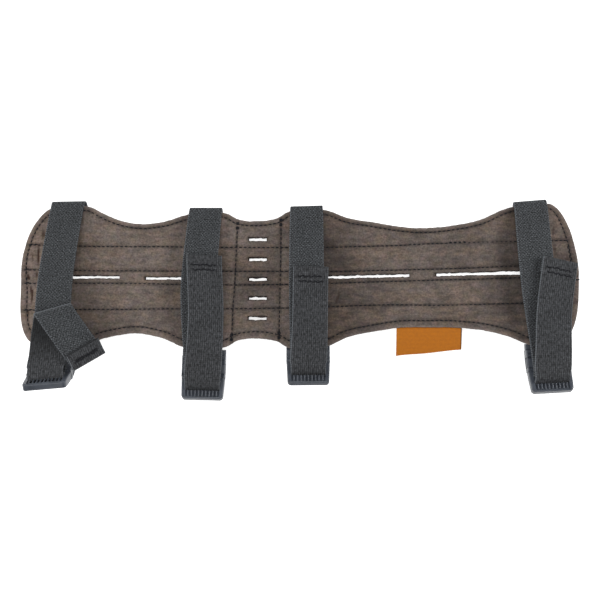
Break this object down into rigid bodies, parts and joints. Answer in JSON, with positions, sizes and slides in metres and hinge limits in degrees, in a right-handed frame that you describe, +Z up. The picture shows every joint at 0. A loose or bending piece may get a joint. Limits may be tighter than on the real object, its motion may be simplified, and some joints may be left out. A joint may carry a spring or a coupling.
{
  "type": "arm guard",
  "caption": "Long suede archery arm guard lying arm side up, with wavy stitched edges, slits, dark elastic straps fastened by black side-release buckles and a bare tan woven label",
  "frame": {"origin": "middle of the bounding box, on the table plane", "axes": "+X along the guard to the right as pictured, +Y across it toward the edge where the straps are sewn in, +Z up from the table toward the arm side"},
  "size_m": [0.3356, 0.1193, 0.0345],
  "materials": {
    "arm_side_suede": "grey-brown suede, napped",
    "outer_suede": "grey-brown suede, napped",
    "elastic": "woven charcoal elastic",
    "buckle_plastic": "black moulded plastic, satin",
    "woven_label": "woven tan label, bare"
  },
  "bodies": {
    "root": {"outer_leather": "outer_suede", "arm_side_leather": "arm_side_suede", "label": "woven_label", "strap_1": "elastic", "strap_2": "elastic", "strap_3": "elastic", "strap_4": "elastic", "buckle_plug_1": "buckle_plastic", "buckle_plug_2": "buckle_plastic", "buckle_plug_3": "buckle_plastic", "buckle_plug_4": "buckle_plastic", "buckle_socket_1": "buckle_plastic", "buckle_socket_2": "buckle_plastic", "buckle_socket_3": "buckle_plastic", "buckle_socket_4": "buckle_plastic", "buckle_tab_1": "elastic", "buckle_tab_2": "elastic", "buckle_tab_3": "elastic", "buckle_tab_4": "elastic"}
  },
  "joints": []
}
